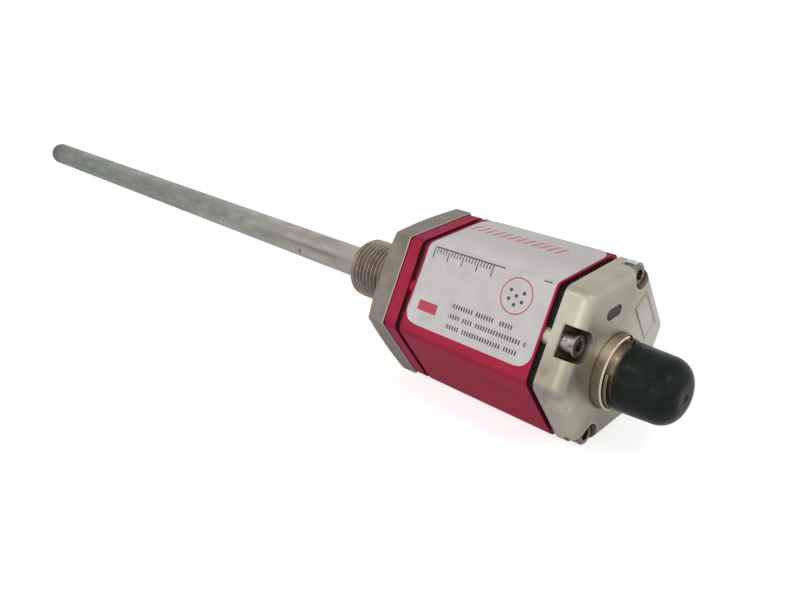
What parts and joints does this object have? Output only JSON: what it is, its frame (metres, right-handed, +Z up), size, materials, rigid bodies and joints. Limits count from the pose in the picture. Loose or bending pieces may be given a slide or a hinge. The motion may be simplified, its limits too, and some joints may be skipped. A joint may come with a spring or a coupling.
{
  "type": "magnetostrictive position sensor",
  "caption": "Rod-type linear position sensor with a hexagonal threaded flange, a hexagonal housing and a capped round connector.",
  "frame": {"origin": "centre of the flange's sealing face, on the rod's axis", "axes": "+X from the rod's tip through the flange to the connector, +Z up, with two flats of each hexagon level"},
  "size_m": [0.3521, 0.0514, 0.0444],
  "materials": {
    "stainless": "satin, lightly worn",
    "rod_steel": "dull with bright streaks along it",
    "red_paint": "satin red anodised aluminium",
    "label_foil": "printed foil",
    "nickel_casting": "nickel-plated zinc casting, satin",
    "connector_nickel": "nickel-plated brass, brushed",
    "screw_steel": "bright steel",
    "dark_seal": "matte",
    "cap_rubber": "soft sheen",
    "smoked_lens": "smoked",
    "white_plastic": "natural",
    "black_plastic": "matte",
    "circuit_board": "solder mask",
    "copper": "bright wire",
    "magnet": "nickel-plated magnet",
    "gold_pin": "gold-plated",
    "wire_alloy": "bright drawn wire",
    "aluminium_can": "satin",
    "grey_cable": "flat cable"
  },
  "bodies": {
    "sensor": {"probe_rod": "rod_steel", "rod_end_plug": "rod_steel", "waveguide": "wire_alloy", "return_wire": "copper", "waveguide_sleeve": "white_plastic", "damping_plug": "cap_rubber", "threaded_flange": "stainless", "flange_gasket": "dark_seal", "front_ring": "red_paint", "front_gasket": "dark_seal", "housing_sleeve": "red_paint", "rear_gasket": "dark_seal", "rear_end_cap": "nickel_casting", "earth_lug": "screw_steel", "lamp_window": "smoked_lens", "connector_shell": "connector_nickel", "connector_seal": "dark_seal", "connector_ring": "connector_nickel", "connector_insert": "black_plastic", "contact_board": "circuit_board", "label": "label_foil", "converter_block": "black_plastic", "pickup_coil": "copper", "bias_magnet": "magnet", "waveguide_clamp": "gold_pin", "board_carrier": "white_plastic", "upper_board": "circuit_board", "lower_board": "circuit_board", "board_header": "black_plastic", "controller_chip": "black_plastic", "power_inductor": "magnet", "indicator_board": "circuit_board", "ribbon_cable": "grey_cable", "end_screw_1": "screw_steel", "smoothing_capacitor_1": "aluminium_can", "end_screw_2": "screw_steel", "smoothing_capacitor_2": "aluminium_can", "end_screw_3": "screw_steel", "smoothing_capacitor_3": "aluminium_can", "contact_pin_1": "gold_pin", "contact_pin_2": "gold_pin", "contact_pin_3": "gold_pin", "contact_pin_4": "gold_pin", "contact_pin_5": "gold_pin", "contact_pin_6": "gold_pin", "indicator_lamp_1": "white_plastic", "indicator_lamp_2": "white_plastic"},
    "cap": {"dust_cap": "cap_rubber"}
  },
  "joints": [
    {"name": "dust_cap_pull", "type": "slide", "parent": "sensor", "child": "cap", "axis": [1, 0, 0], "range_m": [0, 0.012]}
  ]
}
